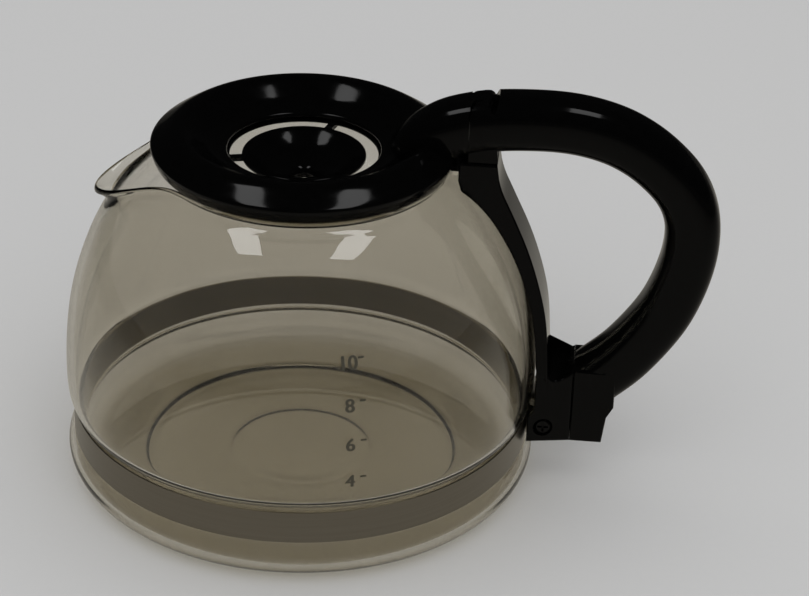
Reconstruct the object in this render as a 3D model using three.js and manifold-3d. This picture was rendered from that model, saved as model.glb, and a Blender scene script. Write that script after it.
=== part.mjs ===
// Coffee carafe: glass jug, steel clamp band, black handle and hinged drip lid.
// Millimetres, +Z up. The origin is the centre of the foot on the table, +X points to the handle.
import * as THREE from "three";
import Module from "manifold-3d";

const wasm = await Module();
wasm.setup();

// Shared fits
const CLEARANCE = 0.3;
const SEGMENTS = 48;
const FUNNEL_SEGMENTS = 32;
const SMALL_SEGMENTS = 16;

// Clamp band
const BAND_RADIUS = 75;
const BAND_THICKNESS = 0.6;
const BAND_BOTTOM = 15.2;
const BAND_TOP = 26.5;
const BAND_EAR_GAP = 3;
const BAND_EAR_LENGTH = 10;
const BAND_EAR_END = BAND_RADIUS + BAND_EAR_LENGTH;
const BAND_EAR_BOTTOM = 19.6;

// Glass jug
const GLASS_WALL = 2.2;
const BASE_THICKNESS = 2.8;
const GROOVE_RADIUS = BAND_RADIUS - BAND_THICKNESS - CLEARANCE;
const GROOVE_MARGIN = 0.8;
const FOOT_OUTER_RADIUS = 64;
const FOOT_RING_RADIUS = 52.2;
const FOOT_RING_DEPTH = 1.8;
const BASE_RING_RADIUS = 24;
const BASE_RING_DEPTH = 0.6;
const RIM_RADIUS = 46.4;
const RIM_HEIGHT = 110.4;
const NECK_RADIUS = 45.4;
const SPOUT_RADIUS = 67.3;
const SPOUT_HEIGHT = 94.9;
const SPOUT_SPREAD = THREE.MathUtils.degToRad(14.5);

// Handle
const GRIP_HALF_WIDTH = 9;
const GRIP_HALF_THICKNESS = 8.8;
const GRIP_END_EXTRA = 0.6;
const GRIP_SQUARENESS = 2.8;
const ARM_TAPER = 0.3;
const ARM_TAPER_END = 0.1;
const BLOCK_HALF_WIDTH = 11.5;
const BLOCK_BOTTOM = 17.5;
const BLOCK_DEPTH = 14.5;
const SEAM_X = BAND_RADIUS + BLOCK_DEPTH;
const SEAM_Z = 116;
const ROOT_FRONT = 52;
const SPINE_TOP_HALF_WIDTH = 8.5;
const HOOK_HALF_WIDTH = 4;
const HOOK_THICKNESS = 1.6;
const HOOK_DEPTH = 4;
const HOOK_GAP = 0.4;

// Hinge
const PIN_X = 55.5;
const PIN_Z = 131.6;
const PIN_RADIUS = 1.5;
const PIN_LENGTH = 12.6;
const KNUCKLE_RADIUS = 3.6;
const KNUCKLE_HALF_WIDTH = 3;
const ARM_END = 51.4;

// Screws
const SCREW_RADIUS = 1.5;
const SCREW_HEAD_RADIUS = 2.9;
const SCREW_HEAD_HEIGHT = 2;
const BAND_SCREW_OUT = 5.5;
const BAND_SCREW_X = BAND_RADIUS + BAND_SCREW_OUT;
const BAND_SCREW_Z = 23;
const BAND_SCREW_SEAT = 8;
const NUT_RADIUS = 3;
const NUT_HEIGHT = 2.4;
const FOOT_SCREW_Z = 36;
const FOOT_SCREW_OUT = 7;
const FOOT_SCREW_SEAT = BAND_RADIUS + FOOT_SCREW_OUT;
const FOOT_SCREW_LENGTH = 15;
const TOP_SCREW_X = 58;
const TOP_SCREW_SEAT = 108;
const TOP_SCREW_LENGTH = 14;

// Lid
const LID_RADIUS = 48.2;
const LID_BOTTOM = 111.2;
const LID_EDGE = 115.6;
const LID_CREST = 121;
const LID_WALL = 2.2;
const LID_BORE = 24.2;
const LID_BORE_TOP = 114.4;
const COLLAR_RADIUS = 41.6;
const COLLAR_BOTTOM = 107.6;
const LINER_THICKNESS = 1.6;
const LINER_BORE = 31;
const FLANGE_RADIUS = 27.5;
const FLANGE_THICKNESS = 1.4;
const DRIP_HOLE_RADIUS = 3;
const DRIP_HOLE_LENGTH = 4.1;
const FUNNEL_BOTTOM = 101.4;
const SLOT_INNER = 19.6;
const SLOT_OUTER = 23.4;
const SLOT_UNDERCUT = 1.8;
const RIB_COUNT = 3;
const RIB_WIDTH = 2.4;
const RIB_ANGLE = 194;

function material(name, color, roughness, metalness) {
  return new THREE.MeshStandardMaterial({ name, color, roughness, metalness });
}

const glass = material("clear_glass", 0xb9b4a2, 0.05, 0);
glass.transparent = true;
glass.opacity = 0.35;
const plastic = material("black_plastic", 0x0b0b0c, 0.2, 0);
const bandSteel = material("band_steel", 0x6a6862, 0.4, 0.9);
const screwSteel = material("screw_steel", 0x3a3a3a, 0.4, 0.9);

// Joins rows of points into one closed skin. A row is a ring of points, or one point at an end.
function skin(rows, closed = false) {
  const positions = [];
  const starts = [];
  for (const row of rows) {
    starts.push(positions.length / 3);
    row.forEach((point) => positions.push(point.x, point.y, point.z));
  }
  const faces = [];
  const joins = closed ? rows.length : rows.length - 1;
  for (let i = 0; i < joins; i += 1) {
    const next = (i + 1) % rows.length;
    const count = Math.max(rows[i].length, rows[next].length);
    for (let j = 0; j < count; j += 1) {
      const k = (j + 1) % count;
      const a = starts[i];
      const b = starts[next];
      if (rows[i].length === 1) {
        faces.push(a, b + j, b + k);
      } else if (rows[next].length === 1) {
        faces.push(a + j, b, a + k);
      } else {
        faces.push(a + j, b + j, b + k, a + j, b + k, a + k);
      }
    }
  }
  return solidFrom(positions, faces);
}

// Makes a solid from points and triangles, turned right side out.
function solidFrom(positions, faces) {
  let volume = 0;
  const corner = (index) => new THREE.Vector3().fromArray(positions, index * 3);
  for (let i = 0; i < faces.length; i += 3) {
    const normal = corner(faces[i + 1]).cross(corner(faces[i + 2]));
    volume += corner(faces[i]).dot(normal);
  }
  const triVerts = Uint32Array.from(faces);
  if (volume < 0) {
    for (let i = 0; i < triVerts.length; i += 3) {
      triVerts[i] = faces[i + 1];
      triVerts[i + 1] = faces[i];
    }
  }
  const vertProperties = Float32Array.from(positions);
  return new wasm.Manifold(new wasm.Mesh({ numProp: 3, vertProperties, triVerts }));
}

// Turns a profile of [radius, height] points about the vertical axis.
function revolve(profile, closed, segments = SEGMENTS) {
  return skin(profile.map((point) => ringRow(point, segments)), closed);
}

// The ring that one profile point sweeps, or the point itself on the axis.
function ringRow([radius, height], segments = SEGMENTS) {
  if (radius === 0) {
    return [new THREE.Vector3(0, 0, height)];
  }
  return around(segments).map((angle) => polar(radius, angle, height));
}

function around(count) {
  return Array.from({ length: count }, (_, i) => (i / count) * 2 * Math.PI);
}

function polar(radius, angle, height) {
  return new THREE.Vector3(radius * Math.cos(angle), radius * Math.sin(angle), height);
}

// Moves a profile sideways by a distance, positive toward the axis for a profile that runs upward.
function offsetProfile(profile, distance) {
  return profile.map((point, i) => {
    const before = profile[Math.max(i - 1, 0)];
    const after = profile[Math.min(i + 1, profile.length - 1)];
    const along = new THREE.Vector2(after[0] - before[0], after[1] - before[1]).normalize();
    return [point[0] - along.y * distance, point[1] + along.x * distance];
  });
}

// Extrudes an outline of [across, up] points. The map says where a point at a depth lies in space.
function slab(outline, from, to, map) {
  const ring = (depth) => outline.map(([across, up]) => map(across, up, depth));
  const flat = outline.map(([across, up]) => new THREE.Vector2(across, up));
  const caps = THREE.ShapeUtils.triangulateShape(flat, []);
  const count = outline.length;
  const positions = [];
  [...ring(from), ...ring(to)].forEach((point) => positions.push(point.x, point.y, point.z));
  const faces = [];
  for (const [a, b, c] of caps) {
    faces.push(a, c, b, a + count, b + count, c + count);
  }
  for (let i = 0; i < count; i += 1) {
    const k = (i + 1) % count;
    faces.push(i, k, k + count, i, k + count, i + count);
  }
  if (THREE.ShapeUtils.area(flat) < 0) {
    for (let i = 0; i < caps.length * 6; i += 3) {
      [faces[i], faces[i + 1]] = [faces[i + 1], faces[i]];
    }
  }
  return solidFrom(positions, faces);
}

const sideView = (across, up, depth) => new THREE.Vector3(across, depth, up);
const frontView = (across, up, depth) => new THREE.Vector3(depth, across, up);
const planView = (across, up, depth) => new THREE.Vector3(across, up, depth);

function box(from, to) {
  const outline = [[from[0], from[1]], [to[0], from[1]], [to[0], to[1]], [from[0], to[1]]];
  return slab(outline, from[2], to[2], planView);
}

// A straight rod between two depths along one of the three views, round or many-sided.
function rod(radius, across, up, from, to, map, segments = SMALL_SEGMENTS) {
  const outline = around(segments).map((angle) => [
    across + radius * Math.cos(angle),
    up + radius * Math.sin(angle),
  ]);
  return slab(outline, from, to, map);
}

// A cross-slot screw standing on its tip, its head seat at height zero and the shank below it.
function screw(length) {
  const head = SCREW_HEAD_RADIUS;
  const profile = [
    [0, -length],
    [SCREW_RADIUS - 0.5, -length],
    [SCREW_RADIUS, -length + 0.8],
    [SCREW_RADIUS, 0],
    [head, 0],
    [head, SCREW_HEAD_HEIGHT * 0.6],
    [head * 0.75, SCREW_HEAD_HEIGHT],
    [0, SCREW_HEAD_HEIGHT],
  ];
  const slot = box([-head * 0.6, -0.35, 1], [head * 0.6, 0.35, 3]);
  const crossSlot = box([-0.35, -head * 0.6, 1], [0.35, head * 0.6, 3]);
  return revolve(profile, false, SMALL_SEGMENTS).subtract(slot.add(crossSlot));
}

const model = new THREE.Group();
model.name = "coffee_carafe";

function addPiece(name, solid, look) {
  const mesh = solid.getMesh();
  const geometry = new THREE.BufferGeometry();
  const positions = new Float32Array(mesh.numVert * 3);
  for (let i = 0; i < mesh.numVert; i += 1) {
    for (let axis = 0; axis < 3; axis += 1) {
      positions[i * 3 + axis] = mesh.vertProperties[i * mesh.numProp + axis];
    }
  }
  geometry.setAttribute("position", new THREE.BufferAttribute(positions, 3));
  geometry.setIndex(new THREE.BufferAttribute(new Uint32Array(mesh.triVerts), 1));
  geometry.computeVertexNormals();
  const piece = new THREE.Mesh(geometry, look);
  piece.name = name;
  model.add(piece);
  return piece;
}

// Glass jug: the outside runs from the foot ring to the rim, and the same rows bend out at the spout.
const grooveBottom = BAND_BOTTOM - GROOVE_MARGIN;
const grooveTop = BAND_TOP + GROOVE_MARGIN;
const belly = [
  [FOOT_OUTER_RADIUS, 0],
  [BAND_RADIUS - 6, 0.6],
  [BAND_RADIUS - 2.2, 2.2],
  [BAND_RADIUS + 0.4, 4.6],
  [BAND_RADIUS + 1.9, 7.6],
  [BAND_RADIUS + 2.1, 10.2],
  [BAND_RADIUS + 1, 12.7],
  [GROOVE_RADIUS, grooveBottom],
  [GROOVE_RADIUS, grooveTop],
  [BAND_RADIUS + 0.6, 28.4],
  [BAND_RADIUS + 1.6, 31],
  [BAND_RADIUS + 1.9, 37],
  [BAND_RADIUS + 1.7, 45],
  [BAND_RADIUS + 1, 54],
  [BAND_RADIUS - 0.4, 63],
  [BAND_RADIUS - 2.9, 72.5],
];
const shoulder = [
  [BAND_RADIUS - 6.3, 81.5],
  [64.3, 89.8],
  [59.8, 96.6],
  [54.8, 102.2],
  [50, 105.8],
  [46.8, 107.6],
  [NECK_RADIUS, 109],
  [RIM_RADIUS, RIM_HEIGHT],
];
const spout = [
  [BAND_RADIUS - 6.6, 82.4],
  [65.3, 88.6],
  [63.5, 91.6],
  [63, 92.6],
  [63.4, 93.4],
  [64.6, 94.1],
  [65.9, 94.6],
  [SPOUT_RADIUS, SPOUT_HEIGHT],
];
const plainOutside = [...belly, ...shoulder];
const spoutOutside = [...belly, ...spout];

function spoutShare(angle) {
  const away = Math.atan2(Math.sin(angle - Math.PI), Math.cos(angle - Math.PI));
  return Math.exp(-0.5 * (away / SPOUT_SPREAD) ** 2);
}

function glassRows(plain, pulled) {
  return plain.map((point, i) =>
    around(SEGMENTS).map((angle) => {
      const share = spoutShare(angle);
      const radius = THREE.MathUtils.lerp(point[0], pulled[i][0], share);
      const height = THREE.MathUtils.lerp(point[1], pulled[i][1], share);
      return polar(radius, angle, height);
    }),
  );
}

// Two rings on the underside, steep on the outer side and shallow toward the middle.
const underside = [
  [0, 0],
  [BASE_RING_RADIUS - 9, 0],
  [BASE_RING_RADIUS - 1.5, BASE_RING_DEPTH],
  [BASE_RING_RADIUS, 0],
  [FOOT_RING_RADIUS - 22.2, 0],
  [FOOT_RING_RADIUS - 1.7, FOOT_RING_DEPTH],
  [FOOT_RING_RADIUS, 0],
];
const plainInside = offsetProfile(plainOutside, GLASS_WALL).slice(1);
plainInside[plainInside.length - 1] = [RIM_RADIUS - GLASS_WALL, RIM_HEIGHT];
const spoutInside = offsetProfile(spoutOutside, GLASS_WALL).slice(1);
const jug = skin([
  ...underside.map((point) => ringRow(point)),
  ...glassRows(plainOutside, spoutOutside),
  ...glassRows(plainInside, spoutInside).reverse(),
  ringRow([FOOT_OUTER_RADIUS, BASE_THICKNESS]),
  ringRow([0, BASE_THICKNESS]),
]);
addPiece("glass_jug", jug, glass);

// Clamp band: a strip bent round the groove, its two ends turned out side by side.
function bandArc(radius, across) {
  const start = Math.asin(across / radius);
  const inner = around(SEGMENTS).filter((angle) => angle > start && angle < 2 * Math.PI - start);
  const angles = [start, ...inner, 2 * Math.PI - start];
  return angles.map((angle) => [radius * Math.cos(angle), radius * Math.sin(angle)]);
}

const earInside = BAND_EAR_GAP / 2;
const earOutside = earInside + BAND_THICKNESS;
const bandPlan = [
  [BAND_EAR_END, earInside],
  ...bandArc(BAND_RADIUS - BAND_THICKNESS, earInside),
  [BAND_EAR_END, -earInside],
  [BAND_EAR_END, -earOutside],
  ...bandArc(BAND_RADIUS, earOutside).reverse(),
  [BAND_EAR_END, earOutside],
];
const bandScrewHole = rod(
  SCREW_RADIUS + CLEARANCE,
  BAND_SCREW_X,
  BAND_SCREW_Z,
  -2 * BLOCK_HALF_WIDTH,
  2 * BLOCK_HALF_WIDTH,
  sideView,
);
const earTrim = box(
  [BAND_RADIUS + 1, -earOutside - 1, 0],
  [BAND_EAR_END + 1, earOutside + 1, BAND_EAR_BOTTOM],
);
const band = slab(bandPlan, BAND_BOTTOM, BAND_TOP, planView).subtract(earTrim).subtract(bandScrewHole);
addPiece("clamp_band", band, bandSteel);

// Band screw across the clamp block, with its nut in a pocket on the far side.
const bandScrewLength = 2 * BAND_SCREW_SEAT + NUT_HEIGHT + 0.6;
const bandScrew = addPiece("band_screw", screw(bandScrewLength), screwSteel);
bandScrew.position.set(BAND_SCREW_X, -BAND_SCREW_SEAT - CLEARANCE, BAND_SCREW_Z);
bandScrew.rotation.x = Math.PI / 2;
const nutStart = BAND_SCREW_SEAT + CLEARANCE;
const nutBlank = rod(NUT_RADIUS, BAND_SCREW_X, BAND_SCREW_Z, nutStart, nutStart + NUT_HEIGHT, sideView, 6);
addPiece("band_nut", nutBlank.subtract(bandScrewHole), screwSteel);

// Handle bracket: spine and clamp block, shaped to the glass and the band, with a hook over the rim.
const spineSide = [
  [49.2, SEAM_Z - CLEARANCE],
  [49.2, 108],
  [44, 106],
  [44, 100],
  [58, 80],
  [BAND_RADIUS - 9, 60],
  [BAND_RADIUS - 7, 40],
  [BAND_RADIUS + 6.4, 40],
  [BAND_RADIUS + 5.8, 47],
  [BAND_RADIUS + 4.8, 60.6],
  [BAND_RADIUS + 2.5, 71.5],
  [BAND_RADIUS - 2, 85.5],
  [66.8, 99],
  [62.4, 108],
  [61.2, SEAM_Z - CLEARANCE],
];
const spineFront = [
  [-SPINE_TOP_HALF_WIDTH, SEAM_Z],
  [-SPINE_TOP_HALF_WIDTH, 96],
  [-BLOCK_HALF_WIDTH, 48],
  [-BLOCK_HALF_WIDTH, 39],
  [BLOCK_HALF_WIDTH, 39],
  [BLOCK_HALF_WIDTH, 48],
  [SPINE_TOP_HALF_WIDTH, 96],
  [SPINE_TOP_HALF_WIDTH, SEAM_Z],
];
const spine = slab(spineSide, -20, 20, sideView).intersect(slab(spineFront, 0, 120, frontView));
const blockEnd = SEAM_X - CLEARANCE / 2;
const blockSide = [
  [BAND_RADIUS - 9, BLOCK_BOTTOM],
  [blockEnd, BLOCK_BOTTOM],
  [blockEnd, 43.8],
  [blockEnd - 3.35, 41.4],
  [blockEnd - 6.35, 40.6],
  [blockEnd - 8.15, 42.4],
  [blockEnd - 8.55, 46.5],
  [BAND_RADIUS - 5, 46.5],
];
const blockPlan = [
  [BAND_RADIUS - 9, -BLOCK_HALF_WIDTH],
  [blockEnd - 10.35, -BLOCK_HALF_WIDTH],
  [blockEnd, -GRIP_HALF_WIDTH],
  [blockEnd, GRIP_HALF_WIDTH],
  [blockEnd - 10.35, BLOCK_HALF_WIDTH],
  [BAND_RADIUS - 9, BLOCK_HALF_WIDTH],
];
const block = slab(blockSide, -20, 20, sideView).intersect(slab(blockPlan, 0, 60, planView));
const glassOutside = offsetProfile(plainOutside, -CLEARANCE);
const glassRoom = revolve(
  [[0, glassOutside[0][1]], ...glassOutside, [0, glassOutside.at(-1)[1]]],
  false,
);
const bandRoom = revolve(
  [
    [0, BAND_BOTTOM - CLEARANCE],
    [BAND_RADIUS + CLEARANCE, BAND_BOTTOM - CLEARANCE],
    [BAND_RADIUS + CLEARANCE, BAND_TOP + CLEARANCE],
    [0, BAND_TOP + CLEARANCE],
  ],
  false,
);
const earRoom = box(
  [60, -earOutside - CLEARANCE, 0],
  [BAND_EAR_END + CLEARANCE, earOutside + CLEARANCE, BAND_TOP + CLEARANCE],
);
const headRoom = SCREW_HEAD_RADIUS + CLEARANCE;
const bandHeadRoom = rod(headRoom, BAND_SCREW_X, BAND_SCREW_Z, -20, -BAND_SCREW_SEAT, sideView);
const nutRoom = rod(NUT_RADIUS + CLEARANCE, BAND_SCREW_X, BAND_SCREW_Z, BAND_SCREW_SEAT, 20, sideView);
const screwRoom = SCREW_RADIUS + CLEARANCE;
const footScrewRoom = rod(headRoom, 0, FOOT_SCREW_Z, 60, FOOT_SCREW_SEAT, frontView);
const footScrewTip = FOOT_SCREW_SEAT + FOOT_SCREW_LENGTH + CLEARANCE;
const footScrewHole = rod(screwRoom, 0, FOOT_SCREW_Z, FOOT_SCREW_SEAT - 1, footScrewTip, frontView);
const topScrewRoom = rod(headRoom, TOP_SCREW_X, 0, 80, TOP_SCREW_SEAT, planView);
const topScrewTip = TOP_SCREW_SEAT + TOP_SCREW_LENGTH + CLEARANCE;
const topScrewHole = rod(screwRoom, TOP_SCREW_X, 0, TOP_SCREW_SEAT - 1, topScrewTip, planView);
const hookBottom = RIM_HEIGHT + HOOK_GAP;
const hookInside = NECK_RADIUS - GLASS_WALL - HOOK_GAP;
const hook = box(
  [hookInside - HOOK_THICKNESS, -HOOK_HALF_WIDTH, hookBottom],
  [51, HOOK_HALF_WIDTH, hookBottom + HOOK_THICKNESS],
).add(
  box(
    [hookInside - HOOK_THICKNESS, -HOOK_HALF_WIDTH, hookBottom - HOOK_DEPTH],
    [hookInside, HOOK_HALF_WIDTH, hookBottom + HOOK_THICKNESS],
  ),
);
const bracket = [
  glassRoom,
  bandRoom,
  earRoom,
  bandScrewHole,
  bandHeadRoom,
  nutRoom,
  footScrewRoom,
  footScrewHole,
  topScrewRoom,
  topScrewHole,
].reduce((solid, room) => solid.subtract(room), spine.add(block));
addPiece("handle_bracket", bracket.add(hook), plastic);

// The rounded bar of the handle, bent into a loop. Its first stretch, over the lid, is the hinge arm.
const barPath = new THREE.CatmullRomCurve3(
  [
    [31.5, 113.4],
    [36.4, 118],
    [42, 121.6],
    [49, 124.9],
    [60, 127.4],
    [75, 128.3],
    [86, 127.6],
    [96, 125.2],
    [104, 121.5],
    [111, 116.5],
    [117.4, 110],
    [121.4, 103],
    [123.3, 94.8],
    [122.9, 84],
    [119.8, 71.6],
    [SEAM_X + 25.3, 60.5],
    [SEAM_X + 16.1, 47.4],
    [SEAM_X + 6.5, 38],
  ].map(([across, up]) => new THREE.Vector3(across, 0, up)),
);

function barRing(share) {
  const centre = barPath.getPointAt(share);
  const along = barPath.getTangentAt(share);
  const outward = new THREE.Vector3(-along.z, 0, along.x);
  const taper = 1 - ARM_TAPER * Math.max(0, 1 - share / ARM_TAPER_END) ** 2;
  const thickness = taper * (GRIP_HALF_THICKNESS + GRIP_END_EXTRA * (2 * share - 1) ** 2);
  const power = 2 / GRIP_SQUARENESS;
  const rounded = (value) => Math.sign(value) * Math.abs(value) ** power;
  return around(SMALL_SEGMENTS).map((angle) => {
    const point = centre.clone().addScaledVector(outward, thickness * rounded(Math.cos(angle)));
    point.y = taper * GRIP_HALF_WIDTH * rounded(Math.sin(angle));
    return point;
  });
}

const barSteps = 36;
const barRings = Array.from({ length: barSteps + 1 }, (_, i) => barRing(i / barSteps));
const bar = skin([[barPath.getPointAt(0)], ...barRings, [barPath.getPointAt(1)]]);

// Handle grip: the bar behind the hinge, with the fork at the top and the foot below.
const forkFront = [
  [20, 100],
  [ROOT_FRONT, 100],
  [ROOT_FRONT, PIN_Z - 1],
  [PIN_X, PIN_Z + 1],
  [59.3, PIN_Z + 1],
  [60, PIN_Z + 2.8],
  [62, PIN_Z + 10],
  [20, PIN_Z + 10],
];
const forkRoom = slab(forkFront, -20, 20, sideView);
const cheeks = rod(KNUCKLE_RADIUS, PIN_X, PIN_Z, -20, 20, sideView).intersect(bar);
const rootPad = box(
  [ROOT_FRONT, -SPINE_TOP_HALF_WIDTH + 1, SEAM_Z],
  [61, SPINE_TOP_HALF_WIDTH - 1, SEAM_Z + 5],
);
const footSide = [
  [SEAM_X + CLEARANCE / 2, BLOCK_BOTTOM],
  [SEAM_X + 10.3, BLOCK_BOTTOM],
  [SEAM_X + 11.4, 27],
  [SEAM_X + 13.5, 31],
  [SEAM_X + 13.5, 44],
  [SEAM_X + CLEARANCE / 2, 44],
];
const foot = slab(footSide, -GRIP_HALF_WIDTH, GRIP_HALF_WIDTH, sideView);
const slotHalf = KNUCKLE_HALF_WIDTH + CLEARANCE;
const knuckleRoom = rod(KNUCKLE_RADIUS + CLEARANCE, PIN_X, PIN_Z, -slotHalf, slotHalf, sideView).add(
  box([40, -slotHalf, PIN_Z - 1.5], [PIN_X, slotHalf, PIN_Z + 10]),
);
const pinEnd = PIN_LENGTH / 2;
const pinHole = rod(PIN_RADIUS + CLEARANCE, PIN_X, PIN_Z, -pinEnd - CLEARANCE, 20, sideView);
const seamRoom = box([60, -20, 0], [SEAM_X + CLEARANCE / 2, 20, 60]);
const bracketTopRoom = box([20, -20, 100], [61, 20, SEAM_Z]);
const grip = [knuckleRoom, pinHole, seamRoom, bracketTopRoom, footScrewHole, topScrewHole].reduce(
  (solid, room) => solid.subtract(room),
  bar.subtract(forkRoom).add(cheeks).add(rootPad).add(foot),
);
addPiece("handle_grip", grip, plastic);

// Two screws join grip and bracket from the glass side.
const topScrew = addPiece("top_screw", screw(TOP_SCREW_LENGTH), screwSteel);
topScrew.position.set(TOP_SCREW_X, 0, TOP_SCREW_SEAT - CLEARANCE);
topScrew.rotation.x = Math.PI;
const footScrew = addPiece("foot_screw", screw(FOOT_SCREW_LENGTH), screwSteel);
footScrew.position.set(FOOT_SCREW_SEAT - CLEARANCE, 0, FOOT_SCREW_Z);
footScrew.rotation.y = -Math.PI / 2;

// Lid cap: a ring with a raised crest and a bowl inside it. The hinge arm rises from it to the knuckle.
const capTop = [
  [LID_RADIUS - 1.4, LID_BOTTOM],
  [LID_RADIUS, LID_EDGE],
  [LID_RADIUS - 0.3, LID_EDGE + 0.8],
  [45.2, 118.3],
  [42.6, 120],
  [40.8, 120.8],
  [39.2, LID_CREST],
  [37.6, 120.8],
  [35.8, 120],
  [32.4, 118],
  [29, 116],
  [26.6, 114.8],
  [LID_BORE, LID_BORE_TOP],
];
const ledgeBottom = LID_BORE_TOP - LID_WALL;
const capUnder = [
  [LID_BORE, ledgeBottom],
  [FLANGE_RADIUS + CLEARANCE, ledgeBottom],
  [30.6, 116.9 - LID_WALL],
  [32.4, 118 - LID_WALL],
  [35.8, 120 - LID_WALL],
  [39.2, LID_CREST - LID_WALL],
  [42.2, 120.2 - LID_WALL],
  [44.8, 118.6 - LID_WALL],
  [LID_RADIUS - LID_WALL - 0.6, LID_EDGE],
  [LID_RADIUS - LID_WALL - 1.4, LID_BOTTOM],
];
const capMiddle = capTop.slice(3).map(([radius, height]) => [radius, height - LID_WALL / 2]);
const belowCap = revolve(
  [[0, 90], [70, 90], [70, 116.8], ...capMiddle, [0, capMiddle.at(-1)[1]]],
  false,
);
const cheekRoom = rod(KNUCKLE_RADIUS + CLEARANCE, PIN_X, PIN_Z, -20, 20, sideView);
const knuckle = rod(
  KNUCKLE_RADIUS,
  PIN_X,
  PIN_Z,
  -KNUCKLE_HALF_WIDTH,
  KNUCKLE_HALF_WIDTH,
  sideView,
).intersect(bar);
const knuckleNeck = box(
  [ARM_END - 2, -KNUCKLE_HALF_WIDTH, PIN_Z - 1],
  [PIN_X, KNUCKLE_HALF_WIDTH, PIN_Z + KNUCKLE_RADIUS],
).intersect(bar);
const armRoom = box([ARM_END, -20, 100], [150, 20, 150]).add(box([50, -20, 0], [150, 20, 100]));
const arm = bar.subtract(armRoom).subtract(belowCap).subtract(cheekRoom).add(knuckle).add(knuckleNeck);
const hookRoom = box(
  [hookInside - HOOK_THICKNESS - HOOK_GAP, -HOOK_HALF_WIDTH - 1, 100],
  [60, HOOK_HALF_WIDTH + 1, hookBottom + HOOK_THICKNESS + HOOK_GAP],
);
const cap = revolve([...capTop, ...capUnder], true).add(arm).subtract(pinHole).subtract(hookRoom);
addPiece("lid_cap", cap, plastic);

// Lid funnel: a dish with the drip hole in the middle. Three ribs hold it in the flange that is welded
// under the bore of the cap, and coffee also drips through the slot between them.
const flangeTop = ledgeBottom - CLEARANCE;
const flangeBottom = flangeTop - FLANGE_THICKNESS;
const dish = revolve(
  [
    [SLOT_INNER, flangeBottom],
    [SLOT_INNER, flangeTop],
    [SLOT_INNER - 0.8, flangeTop + 0.2],
    [11.5, 106.7],
    [DRIP_HOLE_RADIUS, FUNNEL_BOTTOM + DRIP_HOLE_LENGTH],
    [DRIP_HOLE_RADIUS, FUNNEL_BOTTOM],
    [DRIP_HOLE_RADIUS + 1.6, FUNNEL_BOTTOM],
    [10.5, 104.4],
    [16.5, 108.9],
  ],
  true,
  FUNNEL_SEGMENTS,
);
const flange = revolve(
  [
    [SLOT_OUTER + SLOT_UNDERCUT, flangeBottom],
    [FLANGE_RADIUS, flangeBottom],
    [FLANGE_RADIUS, flangeTop],
    [SLOT_OUTER, flangeTop],
    [SLOT_OUTER, flangeTop - 0.4],
  ],
  true,
  FUNNEL_SEGMENTS,
);
const rib = box(
  [SLOT_INNER - 1, -RIB_WIDTH / 2, flangeBottom],
  [SLOT_OUTER + SLOT_UNDERCUT + 0.6, RIB_WIDTH / 2, flangeTop],
);
const ribs = Array.from({ length: RIB_COUNT }, (_, i) => {
  const angle = RIB_ANGLE + (360 * i) / RIB_COUNT;
  return rib.rotate([0, 0, angle]);
});
const funnel = ribs.reduce((solid, bridge) => solid.add(bridge), dish.add(flange));
addPiece("lid_funnel", funnel, plastic);

// Lid liner: the plate that closes the cap from below, with the collar that enters the neck.
const linerTop = LID_BOTTOM + LINER_THICKNESS;
const liner = revolve(
  [
    [LINER_BORE, LID_BOTTOM],
    [COLLAR_RADIUS - 1.8, LID_BOTTOM],
    [COLLAR_RADIUS - 1.8, COLLAR_BOTTOM],
    [COLLAR_RADIUS - 0.4, COLLAR_BOTTOM],
    [COLLAR_RADIUS, COLLAR_BOTTOM + 0.6],
    [COLLAR_RADIUS, LID_BOTTOM],
    [LID_RADIUS - LID_WALL - 1.4 - CLEARANCE, LID_BOTTOM],
    [LID_RADIUS - LID_WALL - 1.4 - CLEARANCE, linerTop],
    [LINER_BORE, linerTop],
  ],
  true,
).subtract(hookRoom);
addPiece("lid_liner", liner, plastic);

// Hinge pin, closed in by the near cheek and open at the far one.
addPiece("hinge_pin", rod(PIN_RADIUS, PIN_X, PIN_Z, -pinEnd, pinEnd, sideView), screwSteel);

export default model;
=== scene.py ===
"""Coffee carafe: a glass jug in a steel clamp band, with a black handle and a hinged drip lid."""

import math

import bmesh
import bpy
from mathutils import Matrix, Vector


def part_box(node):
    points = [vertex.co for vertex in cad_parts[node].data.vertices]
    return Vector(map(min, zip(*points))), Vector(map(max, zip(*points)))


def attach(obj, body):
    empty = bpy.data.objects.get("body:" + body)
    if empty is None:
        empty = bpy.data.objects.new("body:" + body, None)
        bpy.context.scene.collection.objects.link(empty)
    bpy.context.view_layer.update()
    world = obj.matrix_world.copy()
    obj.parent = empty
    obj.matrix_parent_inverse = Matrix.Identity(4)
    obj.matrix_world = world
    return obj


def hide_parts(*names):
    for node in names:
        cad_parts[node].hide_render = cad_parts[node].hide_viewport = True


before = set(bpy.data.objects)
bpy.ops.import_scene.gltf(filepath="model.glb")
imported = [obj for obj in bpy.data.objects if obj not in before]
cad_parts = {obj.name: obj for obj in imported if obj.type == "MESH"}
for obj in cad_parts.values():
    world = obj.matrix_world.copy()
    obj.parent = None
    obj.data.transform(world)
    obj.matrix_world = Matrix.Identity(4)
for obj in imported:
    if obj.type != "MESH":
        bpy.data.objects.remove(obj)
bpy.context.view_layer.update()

# Glass jug: heat-proof borosilicate glass, blown into a mould, so that the wall is thin, even and a
# little wavy. The foot bulges below the band groove, and the spout is pulled out of the hot rim.

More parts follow.
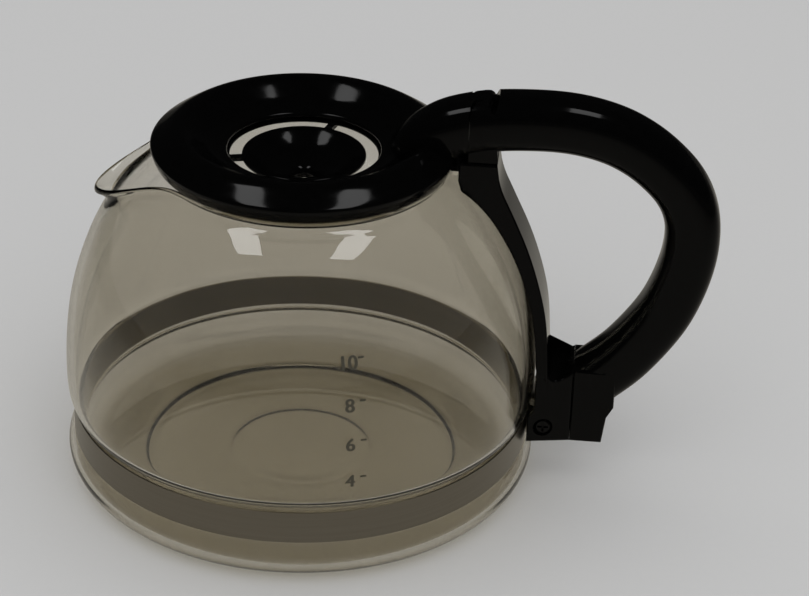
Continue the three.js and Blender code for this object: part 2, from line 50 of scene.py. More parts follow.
MM = 0.001
glass_wall = 2.2
base_thickness = 2.8
jug_sides = 192
sharp_angle = math.radians(35)
spout_spread = math.radians(14.5)
underside = [(0, 0), (15, 0), (22.5, 0.6), (24, 0), (30, 0), (50.5, 1.8), (52.2, 0)]
belly = [
    (64, 0),
    (69, 0.6),
    (72.8, 2.2),
    (75.4, 4.6),
    (76.9, 7.6),
    (77.1, 10.2),
    (76, 12.7),
    (74.1, 14.4),
    (74.1, 27.3),
    (75.6, 28.4),
    (76.6, 31),
    (76.9, 37),
    (76.7, 45),
    (76, 54),
    (74.6, 63),
    (72.1, 72.5),
]
shoulder = [
    (68.7, 81.5),
    (64.3, 89.8),
    (59.8, 96.6),
    (54.8, 102.2),
    (50, 105.8),
    (46.8, 107.6),
    (45.4, 109),
    (46.4, 110.4),
]
spout = [
    (68.4, 82.4),
    (65.3, 88.6),
    (63.5, 91.6),
    (63, 92.6),
    (63.4, 93.4),
    (64.6, 94.1),
    (65.9, 94.6),
    (67.3, 94.9),
]


def beside(line, distance):
    """A line of points moved sideways, toward the axis for a line that runs upward."""
    moved = []
    for i, point in enumerate(line):
        before, after = Vector(line[max(i - 1, 0)]), Vector(line[min(i + 1, len(line) - 1)])
        along = (after - before).normalized()
        moved.append((point[0] - along.y * distance, point[1] + along.x * distance))
    return moved


def rounded(line, times=2, closed=False):
    """A line of points with its corners cut again and again, so that it runs as a smooth curve."""
    points = [Vector(point) for point in line]
    for _ in range(times):
        ends = points[1:] + points[:1] if closed else points[1:]
        cut = [a.lerp(b, share) for a, b in zip(points, ends) for share in (0.25, 0.75)]
        points = cut if closed else [points[0], *cut, points[-1]]
    return points


def circle(count):
    return [2 * math.pi * i / count for i in range(count)]


def polar(radius, angle, height):
    return Vector((radius * math.cos(angle), radius * math.sin(angle), height))


def skin(rows, closed=False):
    """Points and faces of a skin over rows of points. A row of one point closes an end."""
    starts = [sum(len(row) for row in rows[:i]) for i in range(len(rows))]
    pairs = [(i, i + 1) for i in range(len(rows) - 1)]
    if closed:
        pairs.append((len(rows) - 1, 0))
    faces = []
    for i, k in pairs:
        a, b = starts[i], starts[k]
        count = max(len(rows[i]), len(rows[k]))
        for j in range(count):
            n = (j + 1) % count
            if len(rows[i]) == 1:
                faces.append((a, b + j, b + n))
            elif len(rows[k]) == 1:
                faces.append((a + j, b, a + n))
            else:
                faces.append((a + j, b + j, b + n, a + n))
    return [point for row in rows for point in row], faces


def solid(name, points, faces):
    """A closed mesh object from points in millimetres, its faces turned outward."""
    mesh = bpy.data.meshes.new(name)
    mesh.from_pydata([point * MM for point in points], [], faces)
    shell = bmesh.new()
    shell.from_mesh(mesh)
    bmesh.ops.recalc_face_normals(shell, faces=shell.faces)
    shell.to_mesh(mesh)
    shell.free()
    made = bpy.data.objects.new(name, mesh)
    bpy.context.scene.collection.objects.link(made)
    return made


def dress(made, look, body, slot, *nodes):
    """Smooths a piece, gives it its material and lets it stand for CAD nodes on a body."""
    made.data.materials.clear()
    made.data.materials.append(look)
    made.data.shade_smooth()
    made.data.set_sharp_from_angle(angle=sharp_angle)
    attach(made, body)
    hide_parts(*nodes)


def linear(code):
    """A colour written as sRGB hex, turned to linear light."""
    shares = [int(code[i : i + 2], 16) / 255 for i in (1, 3, 5)]
    return [s / 12.92 if s < 0.04045 else ((s + 0.055) / 1.055) ** 2.4 for s in shares] + [1.0]


def bare_tree(owner):
    """The empty node tree of a material or of the world."""
    owner.use_nodes = True
    owner.node_tree.nodes.clear()
    return owner.node_tree


def add(tree, kind, settings, links=None):
    """Adds a shader node with its settings, and links its inputs to other nodes' outputs."""
    node = tree.nodes.new("ShaderNode" + kind)
    for name, value in settings.items():
        if isinstance(name, int) or name in node.inputs:
            node.inputs[name].default_value = value
        else:
            setattr(node, name, value)
    for name, output in (links or {}).items():
        tree.links.new(output, node.inputs[name])
    return node


# Borosilicate glass, a little smoky: each wall dims what lies behind it to a warm grey, most where
# the way through it is long. Slow waves bend the view, and light for the floor passes straight.
glass_wave = 25 * MM
glass_density = 40
glass = bpy.data.materials.new("borosilicate_glass")
tree = bare_tree(glass)
place = add(tree, "TexCoord", {}).outputs["Object"]
wave = add(tree, "TexNoise", {"Scale": 1 / glass_wave, "Detail": 1.0}, {"Vector": place})
tint = add(
    tree,
    "MixRGB",
    {"Color1": linear("#e0dcd2"), "Color2": linear("#e6e2d9")},
    {"Fac": wave.outputs["Fac"]},
)
ripple = add(
    tree,
    "Bump",
    {"Strength": 0.012, "Distance": 0.5 * MM},
    {"Height": wave.outputs["Fac"]},
)
wall = add(
    tree,
    "BsdfPrincipled",
    {"IOR": 1.47, "Roughness": 0.01, "Transmission Weight": 1.0},
    {"Base Color": tint.outputs["Color"], "Normal": ripple.outputs["Normal"]},
)
passing = add(tree, "BsdfTransparent", {"Color": linear("#eeece6")})
ray = add(tree, "LightPath", {})
soft_ray = add(
    tree,
    "Math",
    {"operation": "MAXIMUM"},
    {0: ray.outputs["Is Shadow Ray"], 1: ray.outputs["Is Diffuse Ray"]},
)
either = add(
    tree,
    "MixShader",
    {},
    {"Fac": soft_ray.outputs[0], 1: wall.outputs[0], 2: passing.outputs[0]},
)
smoke = add(tree, "VolumeAbsorption", {"Color": linear("#9a8800"), "Density": glass_density})
add(tree, "OutputMaterial", {}, {"Surface": either.outputs[0], "Volume": smoke.outputs[0]})

plain_outside = belly + shoulder
pulled_outside = belly + spout
rim_inside = (shoulder[-1][0] - glass_wall, shoulder[-1][1])
plain_inside = beside(plain_outside, glass_wall)[1:-1] + [rim_inside]
pulled_inside = beside(pulled_outside, glass_wall)[1:]
jug_floor = [(belly[0][0], base_thickness), (0, base_thickness)]
plain = rounded(underside + plain_outside + plain_inside[::-1] + jug_floor)
pulled = rounded(underside + pulled_outside + pulled_inside[::-1] + jug_floor)


def spout_share(angle):
    """How much of the spout's shape the rim takes at an angle: all of it opposite the handle."""
    return math.exp(-0.5 * (math.remainder(angle - math.pi, 2 * math.pi) / spout_spread) ** 2)


jug_rows = []
for point, tip in zip(plain, pulled):
    if point.x == 0:
        jug_rows.append([Vector((0, 0, point.y))])
        continue
    blends = [(point.lerp(tip, spout_share(angle)), angle) for angle in circle(jug_sides)]
    jug_rows.append([polar(at.x, angle, at.y) for at, angle in blends])
jug = solid("jug_glass", *skin(jug_rows))
dress(jug, glass, "jug", "clear_glass", "glass_jug")

# Level marks: plain cup numbers with a short bar, screen-printed on the wall right of the front in
# a dull glaze that is fired into the glass.

mark_angle = math.radians(-71)
mark_size = 6
mark_weight = 0.18
mark_thickness = 0.1
number_shift = (-1.4, -0.6)
bar_shift = (2.6, 1.4)
level_heights = {"10": 77, "8": 64.3, "6": 51.6, "4": 39}
wall_start = 60

# Fired glaze: a dull dark print that hides the glass behind it, a little patchy from the screen.
print_dot = 0.6 * MM
glaze = bpy.data.materials.new("fired_glaze_print")
tree = bare_tree(glaze)
place = add(tree, "TexCoord", {}).outputs["Object"]
screen = add(tree, "TexNoise", {"Scale": 1 / print_dot, "Detail": 1.0}, {"Vector": place})
ink = add(
    tree,
    "MixRGB",
    {"Color1": linear("#343127"), "Color2": linear("#423f34")},
    {"Fac": screen.outputs["Fac"]},
)
print_coat = add(tree, "BsdfPrincipled", {"Roughness": 0.6}, {"Base Color": ink.outputs["Color"]})
add(tree, "OutputMaterial", {}, {"Surface": print_coat.outputs[0]})


def wall_radius(height):
    """The outside radius of the plain wall at a height."""
    for low, high in zip(plain, plain[1:]):
        if low.y <= height < high.y and low.x > wall_start:
            return low.lerp(high, (height - low.y) / (high.y - low.y)).x
    return shoulder[-1][0]


def settled(made):
    """A new mesh of an object as its text or its modifiers leave it."""
    graph = bpy.context.evaluated_depsgraph_get()
    return bpy.data.meshes.new_from_object(made.evaluated_get(graph))


prints = bmesh.new()
for number, height in level_heights.items():
    for word, (right, up) in ((number, number_shift), ("-", bar_shift)):
        words = bpy.data.curves.new("level_mark", "FONT")
        words.body = word
        words.size = mark_size
        words.extrude = mark_thickness / 2
        words.align_x = "CENTER"
        words.align_y = "CENTER"
        flat = bpy.data.objects.new("level_mark", words)
        bpy.context.scene.collection.objects.link(flat)
        mesh = settled(flat)
        bpy.data.objects.remove(flat)
        letter = [vertex.co.copy() for vertex in mesh.vertices]
        for weight in (-mark_weight, 0, mark_weight):
            for vertex, at in zip(mesh.vertices, letter):
                level = height + up + at.y
                radius = wall_radius(level) + mark_thickness + at.z
                turn = mark_angle + (right + weight + at.x) / radius
                vertex.co = polar(radius, turn, level) * MM
            prints.from_mesh(mesh)
bmesh.ops.remove_doubles(prints, verts=prints.verts, dist=0.001 * MM)
print_mesh = bpy.data.meshes.new("level_marks")
prints.to_mesh(print_mesh)
prints.free()
print_mesh.materials.append(glaze)
level_marks = bpy.data.objects.new("level_marks", print_mesh)
bpy.context.scene.collection.objects.link(level_marks)
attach(level_marks, "jug")

# Clamp band: a strip of stainless steel bent round the groove of the jug, its edges rolled smooth.
# Both ends are turned out side by side into the clamp block, where the band screw pulls them in.

band_low, band_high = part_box("clamp_band")
band_bottom = band_low.z / MM
band_top = band_high.z / MM
band_radius = -band_low.x / MM
band_thickness = 0.6
ear_end = band_high.x / MM
ear_bottom = 19.6
ear_middle = 1.8
ear_bend = 0.9
edge_share = 0.7
band_steps = 180

# Rolled stainless steel: fine lines run along the strip, too fine to show, so they are drawn 0.8 mm
# apart, and they spread the reflections into a dull grey.
roll_line = 0.8 * MM
band_steel = bpy.data.materials.new("rolled_stainless_steel")
tree = bare_tree(band_steel)
place = add(tree, "TexCoord", {}).outputs["Object"]
along = add(tree, "Mapping", {"Scale": (0.02, 0.02, 1.0)}, {"Vector": place})
lines = add(
    tree,
    "TexNoise",
    {"Scale": 1 / roll_line, "Detail": 2.0},
    {"Vector": along.outputs["Vector"]},
)
steel_tone = add(
    tree,
    "MixRGB",
    {"Color1": linear("#7a756b"), "Color2": linear("#88837a")},
    {"Fac": lines.outputs["Fac"]},
)
steel_gloss = add(
    tree,
    "MapRange",
    {"To Min": 0.26, "To Max": 0.42},
    {"Value": lines.outputs["Fac"]},
)
strip = add(
    tree,
    "BsdfPrincipled",
    {"Metallic": 1.0},
    {"Base Color": steel_tone.outputs["Color"], "Roughness": steel_gloss.outputs["Result"]},
)
add(tree, "OutputMaterial", {}, {"Surface": strip.outputs[0]})

middle_radius = band_radius - band_thickness / 2
corner_angle = math.asin((ear_middle + ear_bend) / middle_radius)
sweep = 2 * math.pi - 2 * corner_angle
ear = [(ear_end, ear_middle), (78, ear_middle), (75.9, ear_middle), (75, ear_middle + 0.2)]
turns = [corner_angle + sweep * i / band_steps for i in range(band_steps + 1)]
arc = [polar(middle_radius, turn, 0).xy for turn in turns]
band_path = [Vector(p) for p in ear] + arc + [Vector((x, -y)) for x, y in reversed(ear)]
band_rows = []
for i, point in enumerate(band_path):
    before, after = band_path[max(i - 1, 0)], band_path[min(i + 1, len(band_path) - 1)]
    forward = (after - before).normalized()
    side = Vector((-forward.y, forward.x))
    in_ear = point.x > middle_radius + 0.5
    low = ear_bottom if in_ear else band_bottom
    half = band_thickness / 2
    edge = half * edge_share
    section = [
        (-half, low + edge),
        (-half, band_top - edge),
        (0, band_top),
        (half, band_top - edge),
        (half, low + edge),
        (0, low),
    ]
    band_rows.append([Vector((*(point + side * out), height)) for out, height in section])
band_ends = [[sum(row, Vector((0, 0, 0))) / len(row)] for row in (band_rows[0], band_rows[-1])]
band = solid("band_strip", *skin([band_ends[0], *band_rows, band_ends[1]]))
dress(band, band_steel, "jug", "band_steel", "clamp_band")

# Screws, nut and hinge pin: turned from steel and blackened, so they hardly show in their recesses.
# The band screw pulls the band tight, the other two hold the grip, and the pin carries the lid.

# Blackened steel: a thin dark oxide over the machined metal, worn a little brighter in spots.
worn_spot = 0.9 * MM
blackened = bpy.data.materials.new("blackened_steel")
tree = bare_tree(blackened)
place = add(tree, "TexCoord", {}).outputs["Object"]
worn = add(tree, "TexNoise", {"Scale": 1 / worn_spot, "Detail": 3.0}, {"Vector": place})
oxide = add(
    tree,
    "MixRGB",
    {"Color1": linear("#1a1a1b"), "Color2": linear("#2a2a2a")},
    {"Fac": worn.outputs["Fac"]},
)
oxide_gloss = add(tree, "MapRange", {"To Min": 0.3, "To Max": 0.5}, {"Value": worn.outputs["Fac"]})
machined = add(
    tree,
    "BsdfPrincipled",
    {"Metallic": 1.0},
    {"Base Color": oxide.outputs["Color"], "Roughness": oxide_gloss.outputs["Result"]},
)
add(tree, "OutputMaterial", {}, {"Surface": machined.outputs[0]})
for name in ("band_screw", "band_nut", "top_screw", "foot_screw", "hinge_pin"):
    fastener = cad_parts[name]
    fastener.data.materials.clear()
    fastener.data.materials.append(blackened)
    fastener.data.set_sharp_from_angle(angle=sharp_angle)

# Handle bracket: one black polypropylene moulding. Its spine follows the glass from the rim down to
# the clamp block, which the band holds, and a small hook reaches over the rim under the lid.

# Glossy black polypropylene: almost no colour, a smooth moulded skin and faint flow marks.
flow_mark = 3 * MM
plastic = bpy.data.materials.new("black_polypropylene")
tree = bare_tree(plastic)
place = add(tree, "TexCoord", {}).outputs["Object"]
flow = add(tree, "TexNoise", {"Scale": 1 / flow_mark, "Detail": 3.0}, {"Vector": place})
black = add(
    tree,
    "MixRGB",
    {"Color1": linear("#020202"), "Color2": linear("#040404")},
    {"Fac": flow.outputs["Fac"]},
)
plastic_gloss = add(
    tree,
    "MapRange",
    {"To Min": 0.06, "To Max": 0.12},
    {"Value": flow.outputs["Fac"]},
)
flow_relief = add(
    tree,
    "Bump",
    {"Strength": 0.02, "Distance": 0.1 * MM},
    {"Height": flow.outputs["Fac"]},
)
moulding = add(
    tree,
    "BsdfPrincipled",
    {"IOR": 1.49, "Specular IOR Level": 0.12},
    {
        "Base Color": black.outputs["Color"],
        "Roughness": plastic_gloss.outputs["Result"],
        "Normal": flow_relief.outputs["Normal"],
    },
)
add(tree, "OutputMaterial", {}, {"Surface": moulding.outputs[0]})


def prism(name, outline, half_width, rim=0.6):
    """A solid from a side outline of (x, z) points. Its half width may vary with the point."""
    sides = [
        [Vector((x, sign * half_width(x, z), z)) for x, z in outline]
        for sign in (-1, 1)
    ]
    count = len(outline)
    faces = [tuple(range(count)), tuple(range(count, 2 * count))]
    faces += [(i, (i + 1) % count, (i + 1) % count + count, i + count) for i in range(count)]
    made = solid(name, sides[0] + sides[1], faces)
    shell = bmesh.new()
    shell.from_mesh(made.data)
    rims = [e for e in shell.edges if any(len(f.verts) == count for f in e.link_faces)]
    bmesh.ops.bevel(shell, geom=rims, offset=rim * MM, segments=3, profile=0.5, affect="EDGES")
    shell.to_mesh(made.data)
    shell.free()
    return made


rod_sides = 48


def rod(name, radius, centre, half_length):
    """A straight round rod through a centre point, lying across the carafe."""
    lying = Matrix.Rotation(math.pi / 2, 3, "X")
    ends = (-half_length, half_length)
    rows = [[Vector((0, 0, ends[0]))]]
    rows += [[polar(radius, angle, end) for angle in circle(rod_sides)] for end in ends]
    rows += [[Vector((0, 0, ends[1]))]]
    points, faces = skin(rows)
    return solid(name, [lying @ point + Vector(centre) for point in points], faces)


def block_box(name, low, high):
    """A plain box between two corners."""
    corners = ((low[0], low[1]), (high[0], low[1]), (high[0], high[1]), (low[0], high[1]))
    heights = (low[2], high[2])
    rows = [[Vector((x, y, z)) for x, y in corners] for z in heights]
    middle = (Vector(low) + Vector(high)) / 2
    ends = [[Vector((middle.x, middle.y, z))] for z in heights]
    return solid(name, *skin([ends[0], *rows, ends[1]]))


def combine(made, mode, *tools):
    """Joins a piece with helper solids, or cuts it by them. The helpers are used up."""
    for tool in tools:
        step = made.modifiers.new("combine", "BOOLEAN")
        step.object = tool
        step.operation = mode
        step.solver = "MANIFOLD"
        result = settled(made)
        made.modifiers.clear()
        made.data = result
        bpy.data.objects.remove(tool)
    return made


block_half_width = 11.5
block_bottom = 17.5
block_taper_start = 79
seam_x = 89.35
seam_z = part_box("handle_bracket")[1].z / MM
seam_half_width = 9
spine_top_half_width = 8.5
spine_taper = (48, 96)
spine_reach = (40, 107)
spine_back_x = 49.2
hook_half_width = 4
hook_thickness = 1.6
hook_inside = 42.8
hook_top = 112.4
hook_bottom = 106.8
band_screw_x = 80.5
band_screw_z = 23
band_screw_seat = 8
screw_radius = 1.5
screw_head_radius = 2.9
nut_radius = 3
gap = 0.3

# From the middle plane to well outside the handle, for solids that reach past both its sides.
past_sides = 20


def spine_half_width(x, z):
    """The spine is wide at the block and narrows to the hinge."""
    share = min(max((z - spine_taper[0]) / (spine_taper[1] - spine_taper[0]), 0), 1)
    return block_half_width + (spine_top_half_width - block_half_width) * share


def tapered_half_width(x, z):
    """The block narrows from the band to the seam with the grip."""
    share = min(max((x - block_taper_start) / (seam_x - block_taper_start), 0), 1)
    return block_half_width + (seam_half_width - block_half_width) * share


glass_side = [p for p in beside(plain_outside, -gap) if spine_reach[0] < p[1] < spine_reach[1]]
spine_back = [(spine_back_x, 109.5), (spine_back_x, seam_z)]
spine_front = [
    (61.2, seam_z),
    (62.4, 108),
    (66.8, 99),
    (73, 85.5),
    (77.5, 71.5),
    (79.8, 60.6),
    (80.8, 47),
    (81.2, 40),
]
spine_outline = rounded(glass_side) + [Vector(p) for p in spine_back] + rounded(spine_front)
bracket = prism("bracket_moulding", [(p.x, p.y) for p in spine_outline], spine_half_width)
block_inner = band_radius + gap
block_top = [(seam_x, 43.8), (86, 41.4), (83, 40.6), (81.2, 42.4), (79.8, 46.5)]
block_outline = [(block_inner, block_bottom), (seam_x, block_bottom), block_top[0]]
block_outline += [tuple(p) for p in rounded(block_top)[1:]]
block_outline += [(77.2, 46.5), (77.2, 30), (block_inner, 27)]
combine(bracket, "UNION", prism("block", block_outline, tapered_half_width))
recess_half_length = 10
recess_middle = band_screw_seat + recess_half_length
head_at = (band_screw_x, -recess_middle, band_screw_z)
nut_at = (band_screw_x, recess_middle, band_screw_z)
head_room = rod("head_room", screw_head_radius + gap, head_at, recess_half_length)
nut_room = rod("nut_room", nut_radius + gap, nut_at, recess_half_length)
shank_room = rod("shank_room", screw_radius + gap, (band_screw_x, 0, band_screw_z), 12)
ear_room_half = ear_middle + band_thickness / 2 + gap
ear_room_high = (ear_end + gap, ear_room_half, band_top + gap)
ear_room = block_box("ear_room", (60, -ear_room_half, 0), ear_room_high)
hook_back = hook_inside - hook_thickness
hook_high = (51, hook_half_width, hook_top)
hook = block_box("hook", (hook_back, -hook_half_width, hook_top - hook_thickness), hook_high)
tip_high = (hook_inside, hook_half_width, hook_top)
hook_tip = block_box("hook_tip", (hook_back, -hook_half_width, hook_bottom), tip_high)
seam_cut = block_box("seam_cut", (seam_x, -past_sides, 0), (120, past_sides, 60))
combine(bracket, "DIFFERENCE", head_room, nut_room, shank_room, ear_room, seam_cut)
combine(bracket, "UNION", hook, hook_tip)
dress(bracket, plastic, "jug", "black_plastic", "handle_bracket")
bracket.modifiers.new("even_shading", "WEIGHTED_NORMAL").keep_sharp = True

# Handle grip: a thick rounded bar of black polypropylene, bent into an open loop. Its top end is
# the fork of the lid hinge, and its foot is screwed to the clamp block.

bar_line = [
    (31.5, 113.4),
    (36.4, 118),
    (42, 121.6),
    (49, 124.9),
    (60, 127.4),
    (75, 128.3),
    (86, 127.6),
    (96, 125.2),
    (104, 121.5),
    (111, 116.5),
    (117.4, 110),
    (121.4, 103),
    (123.3, 94.8),
    (122.9, 84),
    (119.8, 71.6),
    (114.8, 60.5),
    (105.6, 47.4),
    (96, 38),
]
bar_steps = 10
bar_sides = 72
grip_half_width = seam_half_width
grip_half_thickness = 8.72
grip_end_extra = 0.6
grip_squareness = 2.8
arm_taper = 0.3
arm_taper_end = 0.1
pin_x = 55.5
pin_z = 131.6
pin_radius = 1.5
pin_hole_end = -6.6
knuckle_radius = 3.6
knuckle_half_width = 3
root_front = 52


def through(line, steps):
    """A smooth curve that passes through a line of points."""
    points = [Vector(point) for point in line]
    made = []
    for i in range(len(points) - 1):
        a, b = points[i], points[i + 1]
        before, after = points[max(i - 1, 0)], points[min(i + 2, len(points) - 1)]
        for step in range(steps):
            t = step / steps
            bend = (2 * before - 5 * a + 4 * b - after) * t**2
            twist = (3 * a - before - 3 * b + after) * t**3
            made.append((2 * a + (b - before) * t + bend + twist) / 2)
    return made + [points[-1]]


def bar(name):
    """The whole rounded bar, from the lid to the foot."""
    centres = through(bar_line, bar_steps)
    lengths = [0]
    for a, b in zip(centres, centres[1:]):
        lengths.append(lengths[-1] + (b - a).length)
    power = 2 / grip_squareness
    rows = []
    for i, centre in enumerate(centres):
        share = lengths[i] / lengths[-1]
        along = (centres[min(i + 1, len(centres) - 1)] - centres[max(i - 1, 0)]).normalized()
        taper = 1 - arm_taper * max(0, 1 - share / arm_taper_end) ** 2
        thickness = taper * (grip_half_thickness + grip_end_extra * (2 * share - 1) ** 2)
        row = []
        for angle in circle(bar_sides):
            round_part = (math.cos(angle), math.sin(angle))
            out, across = [math.copysign(abs(v) ** power, v) for v in round_part]
            at = centre + Vector((-along.y, along.x)) * thickness * out
            row.append(Vector((at.x, taper * grip_half_width * across, at.y)))
        rows.append(row)
    ends = [[Vector((p.x, 0, p.y))] for p in (centres[0], centres[-1])]
    return solid(name, *skin([ends[0], *rows, ends[1]]))


def pin_hole():
    """The hole for the hinge pin, closed at the near cheek and open at the far one."""
    middle = (pin_hole_end + past_sides) / 2
    return rod("pin_hole", pin_radius + gap, (pin_x, middle, pin_z), past_sides - middle)


fork_front = [
    (20, 100),
    (root_front, 100),
    (root_front, pin_z - 1),
    (pin_x, pin_z + 1),
    (59.3, pin_z + 1),
    (60, pin_z + 2.8),
    (62, pin_z + 10),
    (20, pin_z + 10),
]
foot_start = seam_x + 0.03
foot_outline = [
    (foot_start, block_bottom),
    (99.8, block_bottom),
    (100.9, 27),
    (103, 31),
    (103, 44),
    (foot_start, 44),
]
slot_half = knuckle_half_width + gap
grip = bar("grip_moulding")
cheeks = rod("cheeks", knuckle_radius, (pin_x, 0, pin_z), past_sides)
combine(cheeks, "INTERSECT", bar("bar_copy"))
pad_half_width = spine_top_half_width - 1
root_pad = block_box("root_pad", (root_front, -pad_half_width, 116), (61, pad_half_width, 121))
seam_room = block_box("seam_room", (60, -past_sides, 0), (foot_start, past_sides, 60))
foot = prism("foot", foot_outline, lambda x, z: grip_half_width)
knuckle_room = rod("knuckle_room", knuckle_radius + gap, (pin_x, 0, pin_z), slot_half)
slot_high = (pin_x, slot_half, pin_z + 10)
slot_room = block_box("slot_room", (40, -slot_half, pin_z - 1.5), slot_high)
fork_room = prism("fork_room", fork_front, lambda x, z: past_sides, rim=0.01)
combine(grip, "DIFFERENCE", fork_room, seam_room)
combine(grip, "UNION", cheeks, root_pad, foot)
combine(grip, "DIFFERENCE", knuckle_room, slot_room, pin_hole())
dress(grip, plastic, "jug", "black_plastic", "handle_grip")
grip.modifiers.new("even_shading", "WEIGHTED_NORMAL").keep_sharp = True

# Lid cap: a black polypropylene ring with a raised crest and a shallow bowl inside it. The hinge
# arm is moulded on and rises to the knuckle, which turns on the pin.

lid_sides = 160
lid_bore = 24.2
cap_top = [
    (46.8, 111.2),
    (47.8, 113.9),
    (48.2, 115.2),
    (48.2, 116),
    (47.7, 116.6),
    (45.2, 118.3),
    (42.6, 120),
    (40.8, 120.8),
    (39.2, 121),
    (37.8, 120.8),
    (36.6, 120.2),
    (33.4, 117.9),
    (30.2, 115.6),
    (27, 114.7),
    (lid_bore, 114.4),
]
cap_under = [
    (lid_bore, 112.2),
    (27.8, 112.2),
    (30.6, 114),
    (32.4, 115.2),
    (35.8, 117.6),
    (39.2, 118.8),
    (42.2, 118),
    (44.8, 116.4),
    (45.4, 115.6),
    (44.6, 111.2),
]
lid_wall = 2.2


def turned(profile):
    """Rows of points from an outline of (radius, height) points turned about the upright axis."""
    rows = []
    for radius, height in profile:
        angles = circle(lid_sides) if radius else [0]
        rows.append([polar(radius, angle, height) for angle in angles])
    return rows


arm_end = 51.9
arm = bar("arm")
below_cap = [(0, 90), (70, 90), (70, 116.8)]
below_cap += [(radius, height - lid_wall / 2) for radius, height in cap_top[5:]]
below_cap += [(0, below_cap[-1][1])]
cap_room = solid("cap_room", *skin(turned(below_cap)))
far_room = block_box("far_room", (arm_end, -past_sides, 0), (150, past_sides, 150))
cheek_room = rod("cheek_room", knuckle_radius + gap, (pin_x, 0, pin_z), past_sides)
knuckle = rod("knuckle", knuckle_radius, (pin_x, 0, pin_z), knuckle_half_width)
combine(knuckle, "INTERSECT", bar("bar_copy"))
neck_low = (arm_end - 2, -knuckle_half_width, pin_z - 1)
neck_high = (pin_x, knuckle_half_width, pin_z + knuckle_radius)
neck = combine(block_box("neck", neck_low, neck_high), "INTERSECT", bar("bar_copy"))
combine(arm, "DIFFERENCE", far_room, cap_room, cheek_room)
combine(arm, "UNION", knuckle, neck)
notch_gap = 0.4
notch_half_width = hook_half_width + 1
notch_low = (hook_back - notch_gap, -notch_half_width, 100)
notch_high = (60, notch_half_width, hook_top + notch_gap)
cap = solid("cap_moulding", *skin(turned(rounded(cap_top + cap_under, closed=True)), closed=True))
combine(cap, "UNION", arm)
combine(cap, "DIFFERENCE", pin_hole(), block_box("notch", notch_low, notch_high))
dress(cap, plastic, "lid", "black_plastic", "lid_cap")
cap.modifiers.new("even_shading", "WEIGHTED_NORMAL").keep_sharp = True

# Lid funnel: a black polypropylene dish with the drip hole in the middle. Three ribs hold it in a
# thin flange welded under the bore of the cap, and light shows through the slot between them.

flange_top = 111.9
flange_bottom = 110.5
slot_inner = 19.6
slot_outer = 23.4
slot_undercut = 1.8
flange_radius = 27.5
rib_count = 3
rib_half_width = 1.2
rib_angle = math.radians(194)
drip_hole_radius = 3
funnel_bottom = 101.4
dish_profile = [
    (slot_inner, flange_bottom),
    (slot_inner, flange_top),
    (slot_inner - 0.8, flange_top + 0.2),
    (11.5, 106.7),
    (drip_hole_radius, 105.5),
    (drip_hole_radius, funnel_bottom),
    (drip_hole_radius + 1.6, funnel_bottom),
    (10.5, 104.4),
    (16.5, 108.9),
]
flange_profile = [
    (slot_outer + slot_undercut, flange_bottom),
    (flange_radius, flange_bottom),
    (flange_radius, flange_top),
    (slot_outer, flange_top),
    (slot_outer, flange_top - 0.4),
]
funnel = solid("funnel_moulding", *skin(turned(rounded(dish_profile, closed=True)), closed=True))
combine(funnel, "UNION", solid("flange", *skin(turned(flange_profile), closed=True)))
for i in range(rib_count):
    rib_low = (slot_inner - 1, -rib_half_width, flange_bottom)
    rib_high = (slot_outer + slot_undercut + 0.6, rib_half_width, flange_top)
    rib = block_box("rib", rib_low, rib_high)
    rib.data.transform(Matrix.Rotation(rib_angle + 2 * math.pi * i / rib_count, 4, "Z"))
    combine(funnel, "UNION", rib)
dress(funnel, plastic, "lid", "black_plastic", "lid_funnel")

# Lid liner: a black polypropylene plate that closes the cap from below. Its collar enters the neck
# of the jug, with a notch for the hook of the bracket.

liner_profile = [
    (31, 111.2),
    (39.8, 111.2),
    (39.8, 107.6),
    (41.2, 107.6),
    (41.6, 108.2),
    (41.6, 111.2),
    (44.3, 111.2),
    (44.3, 112.8),
    (31, 112.8),
]
liner = solid("liner_moulding", *skin(turned(rounded(liner_profile, 1, closed=True)), closed=True))
combine(liner, "DIFFERENCE", block_box("notch", notch_low, notch_high))
dress(liner, plastic, "lid", "black_plastic", "lid_liner")
liner.modifiers.new("even_shading", "WEIGHTED_NORMAL").keep_sharp = True

# Floor: a wide sheet of pale grey paper under the foot. For rays off gloss it is a painted
# reflection:
# a dim grey glow, full near the carafe and fading with distance, so gloss sees a sheet ending in a
# dark room.

floor_half = 4.0
floor_drop = 0.3 * MM
fibre_size = 2 * MM
# Distances in metres over which the painted reflection of the floor fades from full to dim.
reflection_full_within = 0.25
reflection_dim_beyond = 0.7


def off_gloss(tree):
    """One for rays off a glossy surface, nought for rays through glass and for all others."""
    ray = add(tree, "LightPath", {})
    only = add(
        tree,
        "Math",
        {"operation": "SUBTRACT", "use_clamp": True},
        {0: ray.outputs["Is Glossy Ray"], 1: ray.outputs["Is Transmission Ray"]},
    )
    return only.outputs[0]


# Pale grey paper: matt and even, with a faint grain of fibres. Gloss sees a painted reflection
# instead.
paper = bpy.data.materials.new("pale_grey_paper")
tree = bare_tree(paper)
place = add(tree, "TexCoord", {}).outputs["Object"]
fibre = add(tree, "TexNoise", {"Scale": 1 / fibre_size, "Detail": 4.0}, {"Vector": place})
paper_tone = add(
    tree,
    "MixRGB",
    {"Color1": linear("#bdbdbd"), "Color2": linear("#bfbfbf")},
    {"Fac": fibre.outputs["Fac"]},
)
sheet = add(tree, "BsdfDiffuse", {}, {"Color": paper_tone.outputs["Color"]})
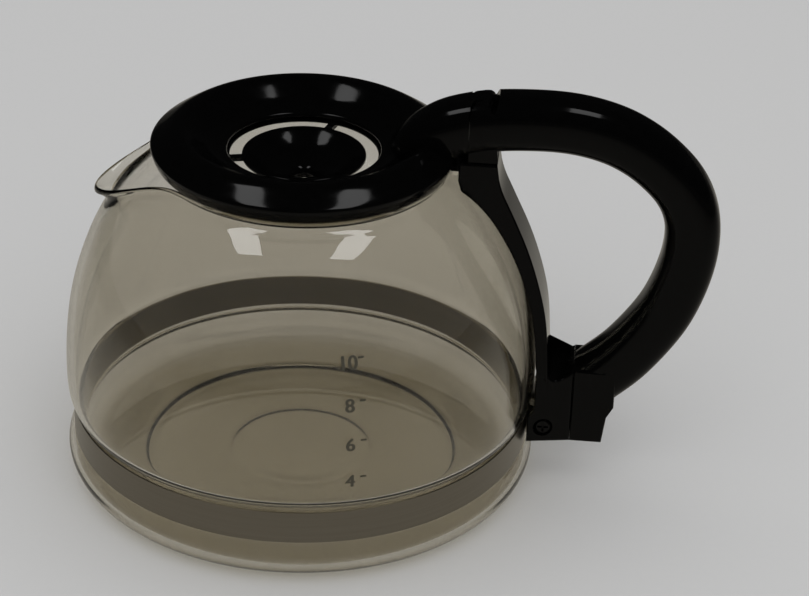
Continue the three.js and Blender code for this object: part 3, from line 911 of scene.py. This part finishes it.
# Painted reflection: gloss sees this dim glow instead of the lit paper, and it fades with distance
# from the middle.
away = add(tree, "VectorMath", {"operation": "LENGTH"}, {0: place})
painted_reflection_fade = add(
    tree,
    "MapRange",
    {"From Min": reflection_full_within, "From Max": reflection_dim_beyond, "To Min": 1.0, "To Max": 0.15},
    {"Value": away.outputs["Value"]},
)
painted_floor_reflection = add(
    tree,
    "Emission",
    {"Color": linear("#a39f96")},
    {"Strength": painted_reflection_fade.outputs["Result"]},
)
surface = add(
    tree,
    "MixShader",
    {},
    {"Fac": off_gloss(tree), 1: sheet.outputs[0], 2: painted_floor_reflection.outputs[0]},
)
add(tree, "OutputMaterial", {}, {"Surface": surface.outputs[0]})
floor_mesh = bpy.data.meshes.new("floor")
corners = [(-1, -1), (1, -1), (1, 1), (-1, 1)]
floor_points = [(x * floor_half, y * floor_half, -floor_drop) for x, y in corners]
floor_mesh.from_pydata(floor_points, [], [(0, 1, 2, 3)])
floor_mesh.materials.append(paper)
floor = bpy.data.objects.new("floor", floor_mesh)
bpy.context.scene.collection.objects.link(floor)

# Studio light: an even white room, one large soft lamp in front, and two small panels above that
# show only as highlights on gloss. Gloss sees the rest of the room as dark.

room_strength = 0.9
dark_strength = 0.01
lamp_place = (0.25, -1.0, 1.1)
lamp_size = 1.4
lamp_radiance = 1.2
panel_width = 0.13
panel_length = 0.28
panel_front = -0.087
panel_height = 0.68
panel_radiance = 6
world = bpy.data.worlds.new("studio")
bpy.context.scene.world = world
tree = bare_tree(world)
room = add(tree, "Background", {"Color": linear("#ffffff"), "Strength": room_strength})
dark_room = add(tree, "Background", {"Color": linear("#ffffff"), "Strength": dark_strength})
around = add(
    tree,
    "MixShader",
    {},
    {"Fac": off_gloss(tree), 1: room.outputs[0], 2: dark_room.outputs[0]},
)
add(tree, "OutputWorld", {}, {"Surface": around.outputs[0]})


def lamp(name, place, aim, width, length, radiance):
    """A flat lamp of an even radiance that looks at a point."""
    light = bpy.data.lights.new(name, "AREA")
    light.shape = "RECTANGLE"
    light.size = width
    light.size_y = length
    light.energy = radiance * math.pi * width * length
    made = bpy.data.objects.new(name, light)
    made.location = place
    made.rotation_euler = (Vector(aim) - Vector(place)).to_track_quat("-Z", "Y").to_euler()
    made.visible_camera = False
    made.visible_transmission = False
    bpy.context.scene.collection.objects.link(made)
    return made


soft_lamp = lamp("soft_lamp", lamp_place, (0, 0, 0), lamp_size, lamp_size, lamp_radiance)
soft_lamp.visible_glossy = False
for name, x in (("left_panel", -0.225), ("right_panel", 0.215)):
    hung = (x, panel_front, panel_height)
    below = (x, panel_front, 0)
    panel = lamp(name, hung, below, panel_width, panel_length, panel_radiance)
    panel.visible_diffuse = False

# Camera: at the viewing angle of the photograph, turned a little about its line of sight.

photo_width = 809
focal_pixels = 2463.4
azimuth = math.radians(4)
elevation = math.radians(29.572)
roll = math.radians(1.932)
distance = 0.8
aim = Vector((33.087, 0, 60.627)) * MM
turn = Matrix.Rotation(azimuth, 3, "Z")
forward = turn @ Vector((0, math.cos(elevation), -math.sin(elevation)))
right = turn @ Vector((1, 0, 0))
up = turn @ Vector((0, math.sin(elevation), math.cos(elevation)))
axes = (
    right * math.cos(roll) + up * math.sin(roll),
    up * math.cos(roll) - right * math.sin(roll),
    -forward,
)
camera_data = bpy.data.cameras.new("camera")
camera_data.sensor_width = 36
camera_data.lens = camera_data.sensor_width * focal_pixels / photo_width
camera = bpy.data.objects.new("camera", camera_data)
stand = Matrix.Translation(turn @ aim - forward * distance)
camera.matrix_world = stand @ Matrix(axes).transposed().to_4x4()
bpy.context.scene.collection.objects.link(camera)
bpy.context.scene.camera = camera
bpy.context.scene.view_settings.view_transform = "Standard"
